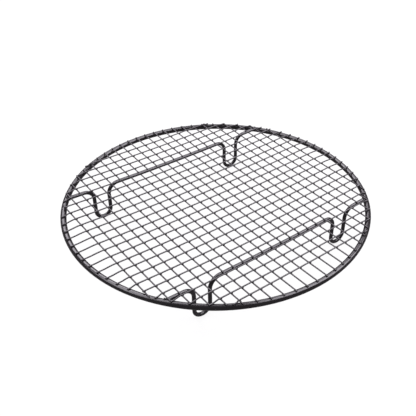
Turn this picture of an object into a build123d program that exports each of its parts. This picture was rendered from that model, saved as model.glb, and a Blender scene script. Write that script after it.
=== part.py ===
from build123d import *
import os
from math import hypot, sqrt

# Round wire cooling rack, in millimetres. The origin is on the resting plane, under the centre of
# the rim, with +Z up. The top wires run along X and lie on the cross wires, which run along Y.
# The cross wires lie on the rim and on two foot wires, and every contact is a weld.

# Driving dimensions.
OUTER_DIAMETER = 320.0
RIM_WIRE = 6.0
MESH_WIRE = 1.4
FOOT_WIRE = 4.0
RIM_HEIGHT = 40.0
MESH_PITCH = 11.7
WIRES_EACH_WAY = 24
MESH_SAG = 3.8
FOOT_X = 87.0
FOOT_LEG_SPACING = 17.5
FOOT_PITCHES_FROM_CENTRE = 8
SHOULDER_RADIUS = 11.5

# Working clearances. Welded wires are modelled touching, with a hair of air between the solids.
WELD_GAP = 0.02
# How far inside the rim's outside edge the mesh wires end. The cross wires sit a little forward.
FRONT_END_INSET = 1.7
REAR_END_INSET = 2.8
SIDE_END_INSET = 1.7
# A foot wire's end is cut square this far inside the rim wire's inner side, then shaped to it.
FOOT_END_BITE = 1.1
# A cross wire stops this far short of the side of a top wire that lands on the rim beside it.
TIP_GAP = 0.25
# A top wire steps down to the rim only where its last crossing leaves this much room.
MIN_STEP_ROOM = 4.5
# A top wire with no room to step down ends this far past its last crossing.
HIGH_END = 1.6
# A step starts this far after the last crossing, and is level this far before the rim's crest.
STEP_MARGIN = 1.0

rim_radius = (OUTER_DIAMETER - RIM_WIRE) / 2
rim_crest_z = RIM_HEIGHT + RIM_WIRE / 2
front_end_radius = OUTER_DIAMETER / 2 - FRONT_END_INSET
rear_end_radius = OUTER_DIAMETER / 2 - REAR_END_INSET
side_end_radius = OUTER_DIAMETER / 2 - SIDE_END_INSET
# The mesh is a shallow dish, the same arc along X and along Y, so the layers touch everywhere.
dish_radius = rim_radius**2 / (2 * MESH_SAG)
layer_step = MESH_WIRE + WELD_GAP
cross_wire_rim_z = rim_crest_z + WELD_GAP + MESH_WIRE / 2
top_wire_rim_z = cross_wire_rim_z + layer_step
foot_wire_rim_z = cross_wire_rim_z - (MESH_WIRE + FOOT_WIRE) / 2 - WELD_GAP
foot_wire_y = FOOT_PITCHES_FROM_CENTRE * MESH_PITCH
foot_bend_radius = FOOT_LEG_SPACING / 2


def wire_offsets():
    """The places of one layer's wires across the rack, from one side to the other."""
    first = -(WIRES_EACH_WAY - 1) / 2 * MESH_PITCH
    return [first + i * MESH_PITCH for i in range(WIRES_EACH_WAY)]


def chord(radius, offset):
    """Half the length of the chord that lies this far from a circle's centre."""
    return sqrt(radius**2 - offset**2)


def dish_height(rim_z, along, offset):
    """A layer's centre height, at a distance along one of its wires, which is offset from the middle."""
    lowest = rim_z - MESH_SAG + offset**2 / (2 * dish_radius)
    return lowest + dish_radius - chord(dish_radius, along)


def dish_point(rim_z, along, offset):
    return Vector(along, dish_height(rim_z, along, offset))


def dish_arc(rim_z, start, end, offset):
    """The stretch of a wire that follows the dish, drawn as (along, height) points."""
    middle = (start + end) / 2
    return ThreePointArc(*[dish_point(rim_z, t, offset) for t in (start, middle, end)])


def wire_solid(edges, diameter):
    """A round wire along tangent edges, which are drawn in the XY plane."""
    path = Wire(edges)
    section = Plane(origin=path @ 0, z_dir=path % 0) * Circle(diameter / 2)
    return sweep(section, path=path)


def stand_along_x(solid, y):
    """Turn a wire drawn as (along, height) so that it runs along X at this Y."""
    return Pos(0, y, 0) * Rot(90, 0, 0) * solid


def stand_along_y(solid, x):
    """Turn a wire drawn as (along, height) so that it runs along Y at this X."""
    return Pos(x, 0, 0) * Rot(0, 0, 90) * Rot(90, 0, 0) * solid


def cross_reach(x, end_radius):
    """Where a cross wire ends: past the rim's crest, or beside a top wire that lands on the rim."""
    full = chord(end_radius, x)
    beside = MESH_WIRE / 2 + TIP_GAP
    landings = [y for y in wire_offsets() if 0 < y < full + beside and hypot(x, y) > rim_radius]
    return min([full, *[y - beside for y in landings]])


def cross_wire(x):
    """A lower wire: it lies on the rim at both ends."""
    front = cross_reach(x, front_end_radius)
    rear = cross_reach(x, rear_end_radius)
    return stand_along_y(wire_solid([dish_arc(cross_wire_rim_z, -front, rear, x)], MESH_WIRE), x)


def last_crossing(y):
    """How far out along X a top wire has its last cross wire under it, inside the rim's crest."""
    return max(x for x in wire_offsets() if hypot(x, y) < rim_radius)


def step_down(start, crest, y):
    """Two equal arcs that take a top wire down from the dish onto the rim, then its short end."""
    high = dish_point(top_wire_rim_z, start, y)
    slope = Vector(chord(dish_radius, start), start).normalized()
    low = Vector(crest, cross_wire_rim_z) - slope * STEP_MARGIN
    first = TangentArc(high, (high + low) / 2, tangent=slope)
    second = TangentArc((high + low) / 2, low, tangent=first % 1)
    tail = chord(side_end_radius, y) - crest + STEP_MARGIN
    return [first, second, Line(low, low + slope * tail)]


def top_wire(y):
    """An upper wire: it crosses the cross wires, then steps down one wire's thickness to the rim."""
    crossing = last_crossing(y)
    crest = chord(rim_radius, y)
    if crest - crossing < MIN_STEP_ROOM:
        reach = crossing + HIGH_END
        edges = [dish_arc(top_wire_rim_z, -reach, reach, y)]
    else:
        start = crossing + STEP_MARGIN
        right = step_down(start, crest, y)
        left = [edge.mirror(Plane.YZ) for edge in right]
        edges = [*left, dish_arc(top_wire_rim_z, -start, start, y), *right]
    return stand_along_x(wire_solid(edges, MESH_WIRE), y)


def shoulder(leg_x, outward):
    """Where the run of a foot wire starts to bend, and the top of the leg that the bend leads to."""
    run_x = (leg_x + outward * SHOULDER_RADIUS) / (1 + SHOULDER_RADIUS / dish_radius)
    run = dish_point(foot_wire_rim_z, run_x, foot_wire_y)
    drop = SHOULDER_RADIUS * chord(dish_radius, run_x) / dish_radius
    leg_top = Vector(leg_x, run.Y - drop)
    centre = Vector(leg_x + outward * SHOULDER_RADIUS, leg_top.Y)
    diagonal = Vector(-outward, 1).normalized() * SHOULDER_RADIUS
    return run, centre + diagonal, leg_top


def foot_edges(centre_x):
    """One U foot, from the run on its inner side to the run on its outer side."""
    inner_x = centre_x - foot_bend_radius
    outer_x = centre_x + foot_bend_radius
    inner_run, inner_middle, inner_top = shoulder(inner_x, -1)
    outer_run, outer_middle, outer_top = shoulder(outer_x, 1)
    lowest = FOOT_WIRE / 2
    bend_z = lowest + foot_bend_radius
    return [
        ThreePointArc(inner_run, inner_middle, inner_top),
        Line(inner_top, (inner_x, bend_z)),
        ThreePointArc((inner_x, bend_z), (centre_x, lowest), (outer_x, bend_z)),
        Line((outer_x, bend_z), outer_top),
        ThreePointArc(outer_top, outer_middle, outer_run),
    ]


def foot_wire(y):
    """One long wire with two U feet. Both ends butt on the inner side of the rim."""
    right_foot = foot_edges(FOOT_X)
    inner_run = right_foot[0] @ 0
    outer_run = right_foot[-1] @ 1
    end_x = chord(rim_radius - RIM_WIRE / 2 + FOOT_END_BITE, y)
    right_end = dish_arc(foot_wire_rim_z, outer_run.X, end_x, y)
    left = [edge.mirror(Plane.YZ) for edge in (*right_foot, right_end)]
    run = dish_arc(foot_wire_rim_z, -inner_run.X, inner_run.X, y)
    wire = wire_solid([*left, run, *right_foot, right_end], FOOT_WIRE)
    return stand_along_x(wire, y) - rim_wire(WELD_GAP)


def rim_wire(growth=0.0):
    """The thick round wire that is bent into the rim and butt-welded."""
    return Pos(0, 0, RIM_HEIGHT) * Torus(rim_radius, RIM_WIRE / 2 + growth)


parts = {
    "rim_ring": rim_wire(),
    "front_foot_wire": foot_wire(-foot_wire_y),
    "rear_foot_wire": foot_wire(foot_wire_y),
}
for number, offset in enumerate(wire_offsets(), start=1):
    parts[f"cross_wire_{number:02d}"] = cross_wire(offset)
    parts[f"top_wire_{number:02d}"] = top_wire(offset)

os.makedirs("parts", exist_ok=True)
for name, part in parts.items():
    export_step(part, f"parts/{name}.step")
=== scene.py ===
import math
import random

import bmesh
import bpy
from mathutils import Matrix, Vector


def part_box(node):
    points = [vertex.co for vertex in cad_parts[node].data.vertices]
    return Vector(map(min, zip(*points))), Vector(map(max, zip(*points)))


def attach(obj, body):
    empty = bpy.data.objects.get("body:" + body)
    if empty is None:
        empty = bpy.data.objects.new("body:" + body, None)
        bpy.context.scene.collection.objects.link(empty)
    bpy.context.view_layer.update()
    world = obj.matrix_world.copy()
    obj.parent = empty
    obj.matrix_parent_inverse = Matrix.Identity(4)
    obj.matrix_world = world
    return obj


# A round wire cooling rack with a dark non-stick coating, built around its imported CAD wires.
# Metres throughout. The wires themselves are the CAD nodes; this script finishes their coating
# and adds the weld at every crossing, the beads at the foot wires' ends, the coated wire tips
# and the rim's butt weld.

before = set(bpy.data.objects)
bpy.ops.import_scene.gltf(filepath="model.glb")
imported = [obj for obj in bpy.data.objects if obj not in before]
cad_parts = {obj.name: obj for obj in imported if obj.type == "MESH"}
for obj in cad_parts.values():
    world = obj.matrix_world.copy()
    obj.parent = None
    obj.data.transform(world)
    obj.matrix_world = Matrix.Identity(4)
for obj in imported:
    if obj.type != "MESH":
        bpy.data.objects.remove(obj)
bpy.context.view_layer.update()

MM = 0.001
IMAGE_SIDE = 416

# The photograph's camera, found from the mesh and the rim.
CAMERA_AZIMUTH = -40.713
CAMERA_ELEVATION = 36.445
CAMERA_ROLL = -2.256
CAMERA_DISTANCE = 0.65635
CAMERA_TRACK = 0.042632
CAMERA_LIFT = -0.007225
FOCAL_PIXELS = 623.48
SHIFT_PIXELS = 50.2
SENSOR = 36.0
CLIP_START = 0.01
CLIP_END = 20.0


def direction(azimuth, elevation):
    """The unit vector from the rack towards this azimuth and elevation, in degrees."""
    a, e = math.radians(azimuth), math.radians(elevation)
    return Vector((math.sin(a) * math.cos(e), -math.cos(a) * math.cos(e), math.sin(e)))


def make_camera():
    """The photograph's camera: it looks past the rim's centre, a little rolled and shifted."""
    azimuth = math.radians(CAMERA_AZIMUTH)
    roll = math.radians(CAMERA_ROLL)
    back = direction(CAMERA_AZIMUTH, CAMERA_ELEVATION)
    level_right = Vector((math.cos(azimuth), math.sin(azimuth), 0))
    level_up = back.cross(level_right)
    rim_lo, rim_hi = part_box("rim_ring")
    target = (Vector(rim_lo) + Vector(rim_hi)) / 2
    place = target + back * CAMERA_DISTANCE + level_right * CAMERA_TRACK + level_up * CAMERA_LIFT
    right = level_right * math.cos(roll) - level_up * math.sin(roll)
    up = level_right * math.sin(roll) + level_up * math.cos(roll)
    data = bpy.data.cameras.new("camera")
    data.sensor_width = SENSOR
    data.lens = FOCAL_PIXELS / IMAGE_SIDE * SENSOR
    data.shift_x = -SHIFT_PIXELS / IMAGE_SIDE
    data.clip_start = CLIP_START
    data.clip_end = CLIP_END
    camera = bpy.data.objects.new("camera", data)
    turn = Matrix((right, up, back)).transposed().to_4x4()
    camera.matrix_world = Matrix.Translation(place) @ turn
    bpy.context.scene.collection.objects.link(camera)
    bpy.context.scene.camera = camera


make_camera()

# ---------------------------------------------------------------- materials

# How fine the coating's unevenness is, as noise scales per metre.
PATCH_SCALE = 90.0
SKIN_SCALE = 900.0
GRAIN_SCALE = 1900.0
GRIT_SCALE = 5200.0
# The part of the sum of two noises that is spread over the whole range of tone and gloss.
NOISE_SUM_RANGE = (0.6, 1.4)
TONE_STOPS = (0.15, 0.85)
GRIT_SHARE = 0.35
BUMP_DISTANCE = 0.00006
COATING_SPECULAR = 0.6


def new_material(name):
    material = bpy.data.materials.new(name)
    material.use_nodes = True
    tree = material.node_tree
    return material, tree, tree.nodes["Principled BSDF"]


def add_node(tree, kind, inputs=None, **settings):
    node = tree.nodes.new(kind)
    for key, value in settings.items():
        setattr(node, key, value)
    for key, value in (inputs or {}).items():
        if isinstance(value, bpy.types.NodeSocket):
            tree.links.new(value, node.inputs[key])
        else:
            node.inputs[key].default_value = value
    return node


def noise(tree, place, scale, detail=2.0, roughness=0.5):
    inputs = {"Vector": place, "Scale": scale, "Detail": detail, "Roughness": roughness}
    return add_node(tree, "ShaderNodeTexNoise", inputs).outputs["Fac"]


def remap(tree, value, low, high, to_low, to_high):
    inputs = {
        "Value": value,
        "From Min": low,
        "From Max": high,
        "To Min": to_low,
        "To Max": to_high,
    }
    return add_node(tree, "ShaderNodeMapRange", inputs).outputs["Result"]


def coating(name, dark, pale, roughness, spread, peel):
    """Satin non-stick coating: uneven tone, patchy gloss, orange peel and fine grit."""
    material, tree, shader = new_material(name)
    place = add_node(tree, "ShaderNodeTexCoord").outputs["Object"]
    patch = noise(tree, place, PATCH_SCALE, 3.0)
    grain = noise(tree, place, GRAIN_SCALE, 3.0, 0.6)
    skin = noise(tree, place, SKIN_SCALE)
    grit = noise(tree, place, GRIT_SCALE)

    tone = add_node(tree, "ShaderNodeMath", {0: patch, 1: grain}, operation="ADD").outputs[0]
    spread_tone = remap(tree, tone, *NOISE_SUM_RANGE, 0.0, 1.0)
    ramp = add_node(tree, "ShaderNodeValToRGB", {"Fac": spread_tone})
    for element, position, colour in zip(ramp.color_ramp.elements, TONE_STOPS, (dark, pale)):
        element.position = position
        element.color = (*colour, 1)
    tree.links.new(ramp.outputs["Color"], shader.inputs["Base Color"])

    gloss = add_node(tree, "ShaderNodeMath", {0: patch, 1: skin}, operation="ADD").outputs[0]
    rough = remap(tree, gloss, *NOISE_SUM_RANGE, roughness - spread, roughness + spread)
    tree.links.new(rough, shader.inputs["Roughness"])

    height = add_node(
        tree, "ShaderNodeMath", {0: grit, 1: GRIT_SHARE, 2: skin}, operation="MULTIPLY_ADD"
    ).outputs[0]
    bump = add_node(
        tree, "ShaderNodeBump", {"Strength": peel, "Distance": BUMP_DISTANCE, "Height": height}
    )
    tree.links.new(bump.outputs["Normal"], shader.inputs["Normal"])
    shader.inputs["Specular IOR Level"].default_value = COATING_SPECULAR
    return material


MESH_TONES = ((0.008, 0.0062, 0.0080), (0.018, 0.0150, 0.0184))
# The weld tones are far darker than the wires' own, though the coating is one: painted shade for the
# corners where wires meet and for the wire ends on the rim.
WELD_PAINTED_SHADE_TONES = ((0.0016, 0.0012, 0.0016), (0.0040, 0.0032, 0.0040))
THICK_WIRE_TONES = ((0.0032, 0.0022, 0.0030), (0.0068, 0.0054, 0.0070))
mesh_coating = coating("coating_mesh", *MESH_TONES, roughness=0.32, spread=0.05, peel=0.25)
# This coating's dark tone is painted shade, not a colour of its own.
weld_painted_shade_coating = coating("coating_welds_painted_shade", *WELD_PAINTED_SHADE_TONES, roughness=0.50, spread=0.05, peel=0.3)
rim_coating = coating("coating_rim", *THICK_WIRE_TONES, roughness=0.24, spread=0.03, peel=0.12)
foot_coating = coating("coating_foot", *THICK_WIRE_TONES, roughness=0.26, spread=0.04, peel=0.14)


def finish_nodes():
    for name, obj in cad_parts.items():
        if name == "rim_ring":
            chosen = rim_coating
        elif name.endswith("foot_wire"):
            chosen = foot_coating
        else:
            chosen = mesh_coating
        for index in range(len(obj.material_slots)):
            obj.material_slots[index].material = chosen


finish_nodes()

# ---------------------------------------------------------------- where the wires meet

# The mesh's sag over the rim's radius, as the CAD wires have it.
MESH_SAG = 3.8 * MM
# The top wires that end high, just past their last crossing, and don't step down to the rim.
HIGH_TOP_WIRES = (6, 19)
# A step down to the rim starts this far past the last crossing.
STEP_MARGIN = 1.0 * MM
# The foot wires leave the mesh between these distances from the middle, to form the feet.
FOOT_LEAVES = 66.7 * MM
FOOT_RETURNS = 107.4 * MM
WIRES = 24

rim_lo, rim_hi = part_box("rim_ring")
rim_wire = (rim_hi[2] - rim_lo[2]) / 2
rim_radius = rim_hi[1] - rim_wire
rim_z = (rim_hi[2] + rim_lo[2]) / 2
dish_radius = rim_radius**2 / (2 * MESH_SAG)


def middle_of(node, axis):
    lo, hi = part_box(node)
    return (lo[axis] + hi[axis]) / 2


def wire_name(layer, number):
    return f"{layer}_wire_{number:02d}"


def wire_ends(layer, axis):
    """How far each wire of a layer reaches from the middle, down and up its own axis."""
    boxes = [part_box(wire_name(layer, n + 1)) for n in range(WIRES)]
    return [((-1, -lo[axis]), (1, hi[axis])) for lo, hi in boxes]


cross_x = [middle_of(wire_name("cross", n + 1), 0) for n in range(WIRES)]
top_y = [middle_of(wire_name("top", n + 1), 1) for n in range(WIRES)]
cross_ends = wire_ends("cross", 1)
top_ends = wire_ends("top", 0)
first_lo, first_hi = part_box(wire_name("cross", 1))
mesh_wire = (first_hi[0] - first_lo[0]) / 2
foot_lo, foot_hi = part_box("rear_foot_wire")
foot_wire = (foot_hi[1] - foot_lo[1]) / 2
foot_y = (foot_hi[1] + foot_lo[1]) / 2


def chord(radius, offset):
    return math.sqrt(radius**2 - offset**2)


def arc_rise(distance):
    return dish_radius - math.sqrt(dish_radius**2 - distance**2)


def offset_rise(offset):
    return offset**2 / (2 * dish_radius)


middle_number = WIRES // 2
cross_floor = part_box(wire_name("cross", middle_number))[0][2] + mesh_wire
cross_floor -= offset_rise(cross_x[middle_number - 1])
top_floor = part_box(wire_name("top", middle_number))[0][2] + mesh_wire
top_floor -= offset_rise(top_y[middle_number - 1])
foot_floor = cross_floor - mesh_wire - foot_wire


def cross_height(x, y):
    """Height of a cross wire's centre line."""
    return cross_floor + offset_rise(x) + arc_rise(y)


def top_height(x, y):
    """Height of a top wire's centre line, where it lies on the cross wires."""
    return top_floor + offset_rise(y) + arc_rise(x)


# A top wire that has stepped down lies on the rim as high as a cross wire does.
landed_height = cross_height(cross_x[0], chord(rim_radius, cross_x[0]))


def foot_height(x, y):
    """Height of a foot wire's centre line, where it runs under the cross wires."""
    return foot_floor + offset_rise(y) + arc_rise(x)


def round_side(radius, aside):
    """How far a round wire's surface stands from its axis, this far aside from the axis."""
    return math.sqrt(max(radius**2 - aside**2, 0.0))


# ---------------------------------------------------------------- welds, tips and beads

# A weld fills the wedge between two wires out to where they stand this far apart.
RIM_GAP = 0.60 * MM
FOOT_GAP = 0.50 * MM
# How far a weld's top and bottom are sunk into the wires.
EMBED = 0.05 * MM
# Points round one ring of a weld, and halvings in the search for its edge.
SPOKES = 16
EDGE_HALVINGS = 22
# A collar weld's rings, as shares of its height from the lower wire, and how hollow its side is.
COLLAR_LEVELS = (1.0, 0.85, 0.5, 0.15, 0.0)
COLLAR_HOLLOW = 0.42
# The weld at a mesh crossing: half its thickness, and its reach in the corners between the wires.
CROSSING_THICKNESS = 0.56 * MM
CROSSING_CORNER = 1.36 * MM
# Its rings, as shares of that height and reach.
CROSSING_RINGS = ((1.0, 0.35), (0.7, 0.75), (0.24, 0.98), (-0.24, 0.98), (-0.7, 0.75), (-1.0, 0.35))
# A weld on the rim reaches this far, and stops this far short of its wire's end.
WELD_REACH = 2.4 * MM
WELD_SHORT = 0.15 * MM
# A weld on a foot wire reaches this share of the wire's radius.
FOOT_WELD_SHARE = 0.9
# The bead at a foot wire's end: its thickness, and its place out from the wire and in from the rim.
BEAD_POINTS = (72, 12)
BEAD_SIZE = 0.72 * MM
BEAD_OUT = 0.22 * MM
BEAD_IN = 0.30 * MM
# A wire's tip: its rings, as shares of its depth and radius, and its depth over the wire's radius.
TIP_POINTS = 20
TIP_RINGS = ((-0.4, 0.95), (0.0, 0.985), (0.35, 0.93), (0.7, 0.74), (0.92, 0.42))
TIP_DEPTH = (0.35, 0.6)
# The rim's butt weld: its place, half its width, and its height over and sink into the wire.
SEAM_ANGLE = 68.2
SEAM_POINTS = (48, 9)
SEAM_HALF_WIDTH = 1.1 * MM
SEAM_PROUD = 0.13 * MM
SEAM_SINK = 0.03 * MM
SEED = 7
chance = random.Random(SEED)


def new_piece(name, bm, material):
    mesh = bpy.data.meshes.new(name)
    bmesh.ops.recalc_face_normals(bm, faces=bm.faces)
    bm.to_mesh(mesh)
    bm.free()
    for face in mesh.polygons:
        face.use_smooth = True
    mesh.materials.append(material)
    piece = bpy.data.objects.new(name, mesh)
    bpy.context.scene.collection.objects.link(piece)
    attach(piece, "root")


def add_ring(bm, points):
    return [bm.verts.new(point) for point in points]


def join_rings(bm, rings, close_ends=True):
    count = len(rings[0])
    for low, high in zip(rings, rings[1:]):
        for k in range(count):
            after = (k + 1) % count
            bm.faces.new((low[k], low[after], high[after], high[k]))
    if close_ends:
        for ring in (rings[0], rings[-1]):
            total = Vector((0, 0, 0))
            for vert in ring:
                total += vert.co
            hub = bm.verts.new(total / count)
            for k in range(count):
                bm.faces.new((ring[k], ring[(k + 1) % count], hub))


def weld_collar(bm, x, y, upper, lower, gap, reach, inside=None):
    """Fills the wedge of air round the place where one wire lies on another, out to a set gap."""
    gap *= chance.uniform(0.85, 1.2)
    rings = [[] for _ in COLLAR_LEVELS]
    for k in range(SPOKES):
        angle = 2 * math.pi * k / SPOKES
        ux, uy = math.cos(angle), math.sin(angle)
        near, far = 0.0, reach
        for _ in range(EDGE_HALVINGS):
            middle = (near + far) / 2
            px, py = x + ux * middle, y + uy * middle
            outside = inside is not None and not inside(px, py)
            if outside or upper(px, py) - lower(px, py) > gap:
                far = middle
            else:
                near = middle
        edge = near * chance.uniform(0.96, 1.04)
        px, py = x + ux * edge, y + uy * edge
        high, low = upper(px, py), lower(px, py)
        tall = high - low
        for ring, share in zip(rings, COLLAR_LEVELS):
            inset = COLLAR_HOLLOW * tall * math.sin(math.pi * share)
            z = low + tall * share
            if share == 1.0:
                z += EMBED
            if share == 0.0:
                z -= EMBED
            ring.append((x + ux * (edge - inset), y + uy * (edge - inset), z))
    join_rings(bm, [add_ring(bm, ring) for ring in rings])


def crossing_weld(bm, x, y, z):
    """The coated weld between two crossed mesh wires: a flat lens that fills their four corners."""
    reach = CROSSING_CORNER * chance.uniform(0.94, 1.08)
    skew = chance.uniform(-0.2, 0.2)
    rings = []
    for level, share in CROSSING_RINGS:
        ring = []
        for k in range(SPOKES):
            angle = 2 * math.pi * k / SPOKES
            along_wires = abs(math.cos(2 * angle))
            size = reach * share * (1 + 0.16 * along_wires + 0.06 * math.sin(angle + 9 * skew))
            px, py = x + size * math.cos(angle), y + size * math.sin(angle)
            ring.append((px, py, z + CROSSING_THICKNESS * level))
        rings.append(add_ring(bm, ring))
    join_rings(bm, rings)


def mesh_welds():
    bm = bmesh.new()
    for cx in cross_x:
        for ty in top_y:
            if math.hypot(cx, ty) < rim_radius:
                contact = (cross_height(cx, ty) + top_height(cx, ty)) / 2
                crossing_weld(bm, cx, ty, contact)
    # The crossing welds take the darker coating: painted shade between the crossed wires.
    new_piece("mesh_crossing_welds", bm, weld_painted_shade_coating)


def rim_top(px, py):
    return rim_z + round_side(rim_wire, math.hypot(px, py) - rim_radius)


def rim_welds():
    bm = bmesh.new()
    for cx, ends in zip(cross_x, cross_ends):
        for side, end in ends:
            reach = end - WELD_SHORT
            crest = side * min(chord(rim_radius, cx), reach - mesh_wire)

            def upper(px, py):
                return cross_height(cx, py) - round_side(mesh_wire, px - cx)

            def under_wire(px, py):
                return abs(py) < reach

            weld_collar(bm, cx, crest, upper, rim_top, RIM_GAP, WELD_REACH, under_wire)
    for number, (ty, ends) in enumerate(zip(top_y, top_ends), 1):
        if number in HIGH_TOP_WIRES:
            continue
        for side, end in ends:
            reach = end - WELD_SHORT
            crest = side * min(chord(rim_radius, ty), reach - mesh_wire)

            def upper(px, py):
                return landed_height - round_side(mesh_wire, py - ty)

            def under_wire(px, py):
                return abs(px) < reach

            weld_collar(bm, crest, ty, upper, rim_top, RIM_GAP, WELD_REACH, under_wire)
    # The rim welds take the darker coating: painted shade where the wires cross the rim.
    new_piece("rim_crossing_welds", bm, weld_painted_shade_coating)


def foot_wire_welds():
    bm = bmesh.new()
    for y in (-foot_y, foot_y):
        for cx in cross_x:
            if FOOT_LEAVES < abs(cx) < FOOT_RETURNS or math.hypot(cx, y) > rim_radius - rim_wire:
                continue

            def upper(px, py):
                return cross_height(cx, py) - round_side(mesh_wire, px - cx)

            def lower(px, py):
                return foot_height(px, y) + round_side(foot_wire, py - y)

            weld_collar(bm, cx, y, upper, lower, FOOT_GAP, foot_wire * FOOT_WELD_SHARE)
    new_piece("foot_wire_crossing_welds", bm, foot_coating)


def foot_beads():
    """The weld bead where each end of a foot wire meets the inside of the rim."""
    bm = bmesh.new()
    around, across = BEAD_POINTS
    foot_z = foot_height(chord(rim_radius, foot_y), foot_y)
    for y_side in (-1, 1):
        for x_side in (-1, 1):
            rings = []
            for k in range(around):
                angle = 2 * math.pi * k / around
                y = y_side * foot_y + foot_wire * math.cos(angle)
                z = foot_z + foot_wire * math.sin(angle)
                radius = rim_radius - round_side(rim_wire, z - rim_z)
                x = x_side * chord(radius, y)
                size = BEAD_SIZE * (1 + 0.10 * math.sin(9 * angle) + chance.uniform(-0.05, 0.05))
                outward = Vector((0, math.cos(angle), math.sin(angle)))
                inward = Vector((-x_side, 0, 0))
                centre = Vector((x, y, z)) + outward * BEAD_OUT + inward * BEAD_IN
                ring = []
                for j in range(across):
                    turn = 2 * math.pi * j / across
                    ring.append(centre + outward * size * math.cos(turn) + inward * size * math.sin(turn))
                rings.append(add_ring(bm, ring))
            join_rings(bm, [*rings, rings[0]], close_ends=False)
    new_piece("foot_wire_weld_beads", bm, foot_coating)


def wire_tip(bm, end, along, radius):
    """A wire's sheared end, rounded over by the coating."""
    aside = along.cross(Vector((0, 0, 1))).normalized()
    above = aside.cross(along).normalized()
    depth = radius * chance.uniform(*TIP_DEPTH)
    rings = []
    for reach, size in TIP_RINGS:
        ring = []
        for k in range(TIP_POINTS):
            turn = 2 * math.pi * k / TIP_POINTS
            spot = aside * math.cos(turn) + above * math.sin(turn)
            ring.append(end + along * depth * reach + spot * radius * size)
        rings.append(add_ring(bm, ring))
    join_rings(bm, rings)


def landed_end(ty, end):
    """Slope and height of the end of a top wire that has stepped down to the rim."""
    last = max(x for x in cross_x if math.hypot(x, ty) < rim_radius)
    slope = math.asin((last + STEP_MARGIN) / dish_radius)
    return slope, landed_height + (end - chord(rim_radius, ty)) * math.tan(slope)


def wire_tips():
    bm = bmesh.new()
    for cx, ends in zip(cross_x, cross_ends):
        for side, end in ends:
            slope = math.asin(end / dish_radius)
            along = Vector((0, side * math.cos(slope), math.sin(slope)))
            wire_tip(bm, Vector((cx, side * end, cross_height(cx, end))), along, mesh_wire)
    for number, (ty, ends) in enumerate(zip(top_y, top_ends), 1):
        for side, end in ends:
            if number in HIGH_TOP_WIRES:
                slope, height = math.asin(end / dish_radius), top_height(end, ty)
            else:
                slope, height = landed_end(ty, end)
            along = Vector((side * math.cos(slope), 0, math.sin(slope)))
            wire_tip(bm, Vector((side * end, ty, height)), along, mesh_wire)
    # The tips take the darker coating too: painted shade on the wire ends over the rim.
    new_piece("wire_tips", bm, weld_painted_shade_coating)


def rim_seam():
    """The butt weld that closes the rim, dressed nearly flush."""
    bm = bmesh.new()
    around, rows = SEAM_POINTS
    rings = []
    for row in range(rows):
        share = -1 + 2 * row / (rows - 1)
        angle = math.radians(SEAM_ANGLE) + share * SEAM_HALF_WIDTH / rim_radius
        proud = SEAM_PROUD * math.cos(share * math.pi / 2) - SEAM_SINK
        ring = []
        for k in range(around):
            turn = 2 * math.pi * k / around
            size = rim_wire + proud * (1 + 0.25 * math.sin(5 * turn + 3 * share))
            radius = rim_radius + size * math.cos(turn)
            px, py = radius * math.cos(angle), radius * math.sin(angle)
            ring.append((px, py, rim_z + size * math.sin(turn)))
        rings.append(add_ring(bm, ring))
    join_rings(bm, rings)
    new_piece("rim_butt_weld", bm, rim_coating)


mesh_welds()
rim_welds()
foot_wire_welds()
foot_beads()
wire_tips()
rim_seam()

# ---------------------------------------------------------------- floor and light

# The floor and the wall are nearly black sheets that their own glow makes white.
STAGE_ALBEDO = 0.07
STAGE_ROUGHNESS = 0.8
FLOOR_SIDE = 6.0
FLOOR_GLOW = 0.90
WALL_RADIUS = 2.9
WALL_HEIGHT = 3.0
WALL_PANELS = 96
WALL_GLOW = 0.90
WORLD_LEVEL = 0.24
WORLD_COLOUR = (1.0, 0.95, 1.0, 1)
# The softboxes stand round the rack at one distance, at these azimuths from the camera's own.
SOFTBOX_DISTANCE = 1.6
SOFTBOX_TINT = (1.0, 0.96, 1.03)
SOFTBOXES = (
    # name, azimuth, elevation, width, height, radiance
    ("left_softbox", -70, 42, 0.9, 0.7, 4.5),
    ("left_back_softbox", -140, 42, 0.9, 0.7, 6.0),
    ("left_high_softbox", -110, 66, 1.5, 0.7, 4.6),
    ("right_softbox", 105, 42, 1.1, 0.7, 6.9),
    ("right_high_softbox", 105, 66, 1.5, 0.7, 6.3),
    ("back_softbox", 180, 40, 0.9, 0.7, 3.0),
)


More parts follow.
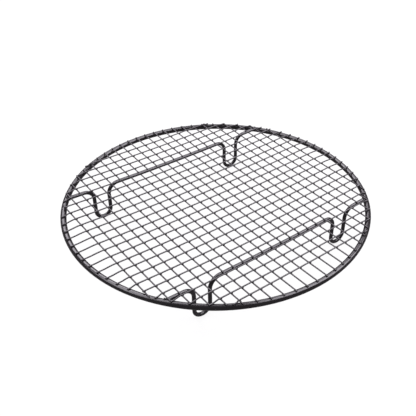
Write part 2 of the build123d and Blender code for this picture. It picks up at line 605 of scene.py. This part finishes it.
def make_stage(name, points, faces, glow):
    """A matt sheet of the studio, white by its own glow, which leaves no image in the coating."""
    mesh = bpy.data.meshes.new(name)
    mesh.from_pydata(points, [], faces)
    sheet = bpy.data.objects.new(name, mesh)
    bpy.context.scene.collection.objects.link(sheet)
    material, _, shader = new_material(name + "_white")
    shader.inputs["Base Color"].default_value = (STAGE_ALBEDO, STAGE_ALBEDO, STAGE_ALBEDO, 1)
    shader.inputs["Roughness"].default_value = STAGE_ROUGHNESS
    shader.inputs["Specular IOR Level"].default_value = 0.0
    shader.inputs["Emission Color"].default_value = (1, 1, 1, 1)
    shader.inputs["Emission Strength"].default_value = glow
    mesh.materials.append(material)
    sheet.visible_glossy = False
    return sheet


def make_floor():
    half = FLOOR_SIDE / 2
    corners = [(-half, -half, 0), (half, -half, 0), (half, half, 0), (-half, half, 0)]
    make_stage("floor", corners, [(0, 1, 2, 3)], FLOOR_GLOW)


def make_backdrop():
    """A round wall outside the softboxes, for low views. Matt surfaces and shadows ignore it."""
    points, faces = [], []
    for k in range(WALL_PANELS):
        angle = 2 * math.pi * k / WALL_PANELS
        x, y = WALL_RADIUS * math.cos(angle), WALL_RADIUS * math.sin(angle)
        points += [(x, y, 0), (x, y, WALL_HEIGHT)]
        after = (k + 1) % WALL_PANELS
        faces.append((2 * k, 2 * after, 2 * after + 1, 2 * k + 1))
    wall = make_stage("backdrop", points, faces, WALL_GLOW)
    wall.visible_diffuse = False
    wall.visible_shadow = False


def make_softbox(name, azimuth, elevation, width, height, radiance):
    """A rectangular studio light that faces the rack from the given direction."""
    out = direction(CAMERA_AZIMUTH + azimuth, elevation)
    data = bpy.data.lights.new(name, "AREA")
    data.shape = "RECTANGLE"
    data.size = width
    data.size_y = height
    data.energy = radiance * math.pi * width * height
    data.color = SOFTBOX_TINT
    lamp = bpy.data.objects.new(name, data)
    lamp.location = out * SOFTBOX_DISTANCE
    lamp.rotation_mode = "QUATERNION"
    lamp.rotation_quaternion = (-out).to_track_quat("-Z", "Y")
    bpy.context.scene.collection.objects.link(lamp)


def make_world():
    world = bpy.data.worlds.new("studio")
    world.use_nodes = True
    sky = world.node_tree.nodes["Background"]
    sky.inputs["Color"].default_value = WORLD_COLOUR
    sky.inputs["Strength"].default_value = WORLD_LEVEL
    bpy.context.scene.world = world


make_floor()
make_backdrop()
make_world()
for softbox in SOFTBOXES:
    make_softbox(*softbox)
bpy.context.scene.view_settings.view_transform = "Standard"
